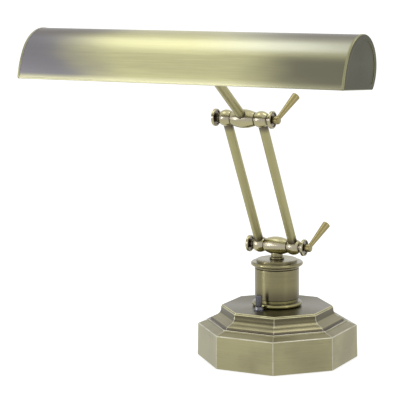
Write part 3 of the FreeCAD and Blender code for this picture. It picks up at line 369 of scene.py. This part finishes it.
def brass(name, colour, brushed=(1, 1, 60), radial="Z", turn=0.25, rough=0.3, aniso=0.7, edge=0.6 * MM,
          streak=0.2, cloud=0.25, wear=0.6, crevice=0.0, coat=0.25, dent=0.0, painted_light_and_wear=None, lining=None):
    """Brushed antique brass.

    brushed stretches the grain, and dent is its depth; radial and turn set which way the brushing spreads
    the light; streak, cloud and wear are the strengths of the grain's colour, of dark clouds and of rubbed
    edges; edge is the radius of the edges, and crevice the reach of the painted shade in corners; the
    function passed for place paints shade, highlights and reflections, and on the base wear too; lining marks
    the faces that are enamelled instead.
    """
    material, t = new_material(name)
    spot = t.add("ShaderNodeTexCoord").outputs
    place, normal = spot["Object"], spot["Normal"]
    grain, streaks = brushed_grain(t, place, brushed)
    face = t.paint(colour, t.step(t.noise(place, 22, 3, 0.5), 0.42, 0.72), cloud, BRASS_DARK)
    face = t.mix(1.0, face, t.grey(t.span(streaks, -1, 1, 1 - streak, 1 + streak)), "MULTIPLY")
    # paint shade, highlights and reflections by place, and on the base wear too
    if painted_light_and_wear:
        face = painted_light_and_wear(t, place, normal, face)
    # painted shade in corners and crevices
    if crevice:
        face = paint_crevice_shade(t, face, crevice)
    soft = t.add("ShaderNodeBevel", {"Radius": edge}, samples=8).outputs[0]
    if wear:
        face = rubbed_edges(t, face, soft, edge, wear)
    metal = 1.0
    if lining:
        lined = lining(t, place, normal)
        face = t.mix(lined, face, ENAMEL)
        metal = t.math("SUBTRACT", 1.0, lined)
    dented = t.add("ShaderNodeBump", {
        "Strength": dent, "Distance": 0.2 * MM, "Height": grain, "Normal": soft,
    }).outputs[0]
    shader = t.add("ShaderNodeBsdfPrincipled", {
        "Base Color": face, "Metallic": metal, "Normal": dented,
        "Roughness": t.span(streaks, -1, 1, rough - 0.04, rough + 0.05),
        "Anisotropic": aniso, "Anisotropic Rotation": turn, "Coat Weight": coat, "Coat Roughness": 0.2,
        "Tangent": t.add("ShaderNodeTangent", direction_type="RADIAL", axis=radial).outputs[0],
    })
    t.add("ShaderNodeOutputMaterial", {"Surface": shader.outputs[0]})
    return material


def plain(name, colour, rough, metallic=0.0, spread=0.2, scale=120, bump=0.1):
    """A simple finish with mottled colour and a fine surface texture."""
    material, t = new_material(name)
    place = t.add("ShaderNodeTexCoord").outputs["Object"]
    fleck = t.noise(place, scale, 3, 0.6)
    large = t.noise(place, scale / 8, 2, 0.5)
    tint = t.grey(t.span(t.math("ADD", fleck, large), 0.6, 1.4, 1 - spread, 1 + spread))
    height = t.add("ShaderNodeBump", {"Strength": bump, "Distance": 0.3 * MM, "Height": fleck}).outputs[0]
    shader = t.add("ShaderNodeBsdfPrincipled", {
        "Base Color": t.mix(1.0, colour, tint, "MULTIPLY"), "Metallic": metallic,
        "Roughness": t.span(fleck, 0.3, 0.7, rough - 0.06, rough + 0.06), "Normal": height,
    })
    t.add("ShaderNodeOutputMaterial", {"Surface": shader.outputs[0]})
    return material


looks = {
    "base": brass("base_brass", rgb(158, 153, 118), edge=0.8 * MM, streak=0.1, wear=0.0, coat=0.0,
                  dent=0.06, painted_light_and_wear=base_shade_and_wear),
    "column": brass("column_brass", rgb(134, 128, 95), rough=0.32, streak=0.1, wear=0.3, coat=0.1,
                    dent=0.06, painted_light_and_wear=column_foot_shade),
    "cap": brass("cap_brass", rgb(140, 134, 100), rough=0.28, aniso=0.5, edge=0.5 * MM, streak=0.08,
                 wear=0.5, crevice=3 * MM),
    "ring": brass("ring_brass", rgb(150, 144, 98), brushed=(1, 1, 30), rough=0.28, aniso=0.5,
                  edge=0.4 * MM, streak=0.08, wear=0.0, crevice=2 * MM, painted_light_and_wear=ring_top_shade),
    "joint": brass("joint_brass", rgb(180, 173, 132), brushed=(60, 1, 1), radial="X", rough=0.26,
                   aniso=0.6, edge=0.4 * MM, streak=0.06, cloud=0.1, wear=0.3, crevice=5 * MM,
                   painted_light_and_wear=joint_belt_reflection),
    "lever": brass("lever_brass", rgb(150, 139, 94), brushed=(30, 1, 1), radial="X", turn=0.0,
                   rough=0.34, aniso=0.0, edge=0.4 * MM, streak=0.03, cloud=0.1, wear=0.0),
    "tube": brass("tube_brass", rgb(174, 168, 122), brushed=(30, 1, 1), radial="X", turn=0.0,
                  rough=0.46, aniso=0.0, edge=0.4 * MM, streak=0.05, cloud=0.1, wear=0.0,
                  crevice=12 * MM, painted_light_and_wear=tube_socket_shade),
    "shade": brass("shade_brass", BRASS, brushed=(1, 60, 60), radial="X", turn=0.0, rough=0.32,
                   aniso=0.75, edge=0.3 * MM, streak=0.12, cloud=0.0, wear=0.0, dent=0.06,
                   painted_light_and_wear=shade_painted_light, lining=shade_lining),
    "end": brass("end_cap_brass", rgb(142, 140, 108), brushed=(1, 60, 3), radial="X", turn=0.0,
                 rough=0.34, aniso=0.3, edge=0.6 * MM, streak=0.12, cloud=0.1, wear=0.0, coat=0.0,
                 dent=0.06, painted_light_and_wear=end_cap_shade, lining=cap_lining),
    "gunmetal": plain("switch_gunmetal", rgb(104, 103, 108), 0.3, metallic=1.0, spread=0.3, scale=900,
                      bump=0.3),
    "switch_body": plain("switch_black", rgb(34, 34, 34), 0.5),
    "steel": plain("zinc_steel", rgb(186, 186, 182), 0.35, metallic=1.0, spread=0.15, scale=200),
    "iron": plain("cast_iron", rgb(70, 70, 70), 0.7, metallic=0.3, spread=0.3, scale=400, bump=0.6),
    "rubber": plain("bushing_rubber", rgb(28, 28, 28), 0.7, scale=500),
    "felt": plain("green_felt", rgb(60, 72, 54), 0.95, spread=0.35, scale=1500, bump=0.9),
    "fibre": plain("fibre_washer", rgb(52, 40, 32), 0.7, spread=0.25, scale=900),
    "cluster": plain("cluster_paint", rgb(205, 202, 192), 0.4, spread=0.06, scale=300),
    "holder": plain("holder_bakelite", rgb(38, 32, 28), 0.3, spread=0.15, scale=300),
    "cap_alu": plain("bulb_aluminium", rgb(215, 215, 210), 0.3, metallic=1.0, spread=0.1, scale=400),
    "bulb": plain("opal_glass", rgb(240, 238, 230), 0.25, spread=0.02, scale=60, bump=0.02),
}

DRESS = {
    "base": ["base_shell"],
    "column": ["column_tube"],
    "cap": ["column_cap", "swivel_ring", "swivel_neck"],
    "ring": ["column_foot_ring"],
    "joint": ["lower_centre_barrel", "lower_barrel_left", "lower_barrel_right", "lower_clamp_bolt",
              "lower_pressure_disc", "upper_centre_barrel", "upper_barrel_left", "upper_barrel_right",
              "upper_clamp_bolt", "upper_pressure_disc", "stem_collar"],
    "lever": ["lower_lever_hub", "lower_lever", "upper_lever_hub", "upper_lever"],
    "tube": ["arm_tube_left", "arm_tube_right", "stem_tube"],
    "shade": ["shade_skin"],
    "end": ["end_cap_left", "end_cap_right"],
    "gunmetal": ["switch_washer", "switch_nut", "switch_knob"],
    "switch_body": ["switch_body"],
    "steel": ["cover_plate", "cover_screws", "pipe_washer", "pipe_nut", "ballast_spacer", "lamp_pipe",
              "pipe_coupler", "switch_shaft", "swivel_spring_washer", "swivel_circlip", "stem_spacer",
              "cluster_screw", "holder_nipples"],
    "iron": ["ballast_weight"],
    "rubber": ["cord_bushing"],
    "felt": ["felt_pad"],
    "fibre": ["lower_friction_washers", "upper_friction_washers"],
    "cluster": ["lamp_cluster"],
    "holder": ["lampholder_left", "lampholder_right"],
    "cap_alu": ["bulb_base_left", "bulb_base_right"],
    "bulb": ["bulb_glass_left", "bulb_glass_right"],
}
for look, names in DRESS.items():
    for name in names:
        slots = nodes[name].data.materials
        slots.clear()
        slots.append(looks[look])


# ---------------------------------------------------------------- floor, world and lamps
WHITE = (1, 1, 1, 1)
WORLD_GREY = (0.62, 0.62, 0.62, 1)
FLOOR_GREY = (0.8, 0.8, 0.8, 1)
FLOOR_LIFT = 0.6
FLOOR_HALF = 12
COOL = (0.98, 0.98, 1.0)


def shiny_rays(path):
    """The outputs that mark a ray from metal or glass, which is shown the same white as the camera."""
    return path["Is Glossy Ray"], path["Is Transmission Ray"]


def make_floor():
    mesh = bpy.data.meshes.new("floor")
    corners = [(x * FLOOR_HALF, y * FLOOR_HALF, 0) for x, y in ((-1, -1), (1, -1), (1, 1), (-1, 1))]
    mesh.from_pydata(corners, [], [(0, 1, 2, 3)])
    floor = bpy.data.objects.new("floor", mesh)
    scene.collection.objects.link(floor)
    material, t = new_material("pale_floor")
    path = t.add("ShaderNodeLightPath").outputs
    matte = t.add("ShaderNodeBsdfDiffuse", {"Color": FLOOR_GREY})
    for_camera = t.times(path["Is Camera Ray"], FLOOR_LIFT)
    lift = t.add("ShaderNodeEmission", {"Color": WHITE, "Strength": for_camera})
    seen = t.add("ShaderNodeAddShader", {0: matte.outputs[0], 1: lift.outputs[0]})
    mirrored = t.add("ShaderNodeEmission", {"Color": WHITE, "Strength": 1.0})
    from_shiny = t.math("ADD", *shiny_rays(path), clamp=True)
    either = t.add("ShaderNodeMixShader", {0: from_shiny, 1: seen.outputs[0], 2: mirrored.outputs[0]})
    t.add("ShaderNodeOutputMaterial", {"Surface": either.outputs[0]})
    mesh.materials.append(material)


def make_world():
    world = bpy.data.worlds.new("studio")
    scene.world = world
    world.use_nodes = True
    t = Tree(world.node_tree)
    path = t.add("ShaderNodeLightPath").outputs
    lit = t.add("ShaderNodeBackground", {"Color": WORLD_GREY, "Strength": 1.0})
    white = t.add("ShaderNodeBackground", {"Color": WHITE, "Strength": 1.0})
    visible = t.math("ADD", path["Is Camera Ray"], t.math("ADD", *shiny_rays(path)), clamp=True)
    last = t.add("ShaderNodeMixShader", {0: visible, 1: lit.outputs[0], 2: white.outputs[0]})
    t.add("ShaderNodeOutputWorld", {"Surface": last.outputs[0]})


def make_lamp(name, place, target, width, height, watts, colour=(1, 1, 1)):
    """Rectangular lamp aimed at the target: width runs level and square to the aim, height square to both."""
    data = bpy.data.lights.new(name, "AREA")
    data.shape = "RECTANGLE"
    data.size = width
    data.size_y = height
    data.energy = watts
    data.color = colour
    lamp = bpy.data.objects.new(name, data)
    scene.collection.objects.link(lamp)
    lamp.location = place
    lamp.rotation_euler = (Vector(target) - Vector(place)).to_track_quat("-Z", "Y").to_euler()


make_floor()
make_world()
# the key lamp gives the highlight on the shade and the barrels, the window the column's streak, and the strip
# lights the front of the base and the shade
make_lamp("key", (-0.38, -0.22, 1.14), (0, -0.18, 0.3), 0.50, 0.36, watts=1.08, colour=(0.98, 1.0, 0.99))
make_lamp("overhead", (0.32, 0.16, 1.15), (0.05, 0, 0.1), 0.35, 0.35, watts=1.1)
make_lamp("window", (-1.16, -1.10, 0.40), (0, 0, 0.12), 0.16, 0.8, watts=4.4, colour=COOL)
make_lamp("strip", (-0.80, -1.39, 0.40), (0, 0, 0.12), 0.8, 0.14, watts=1.9, colour=COOL)
make_lamp("fill", (1.5, -0.5, 0.6), (0, -0.1, 0.2), 0.4, 0.9, watts=1.4)

scene.view_settings.view_transform = "Standard"
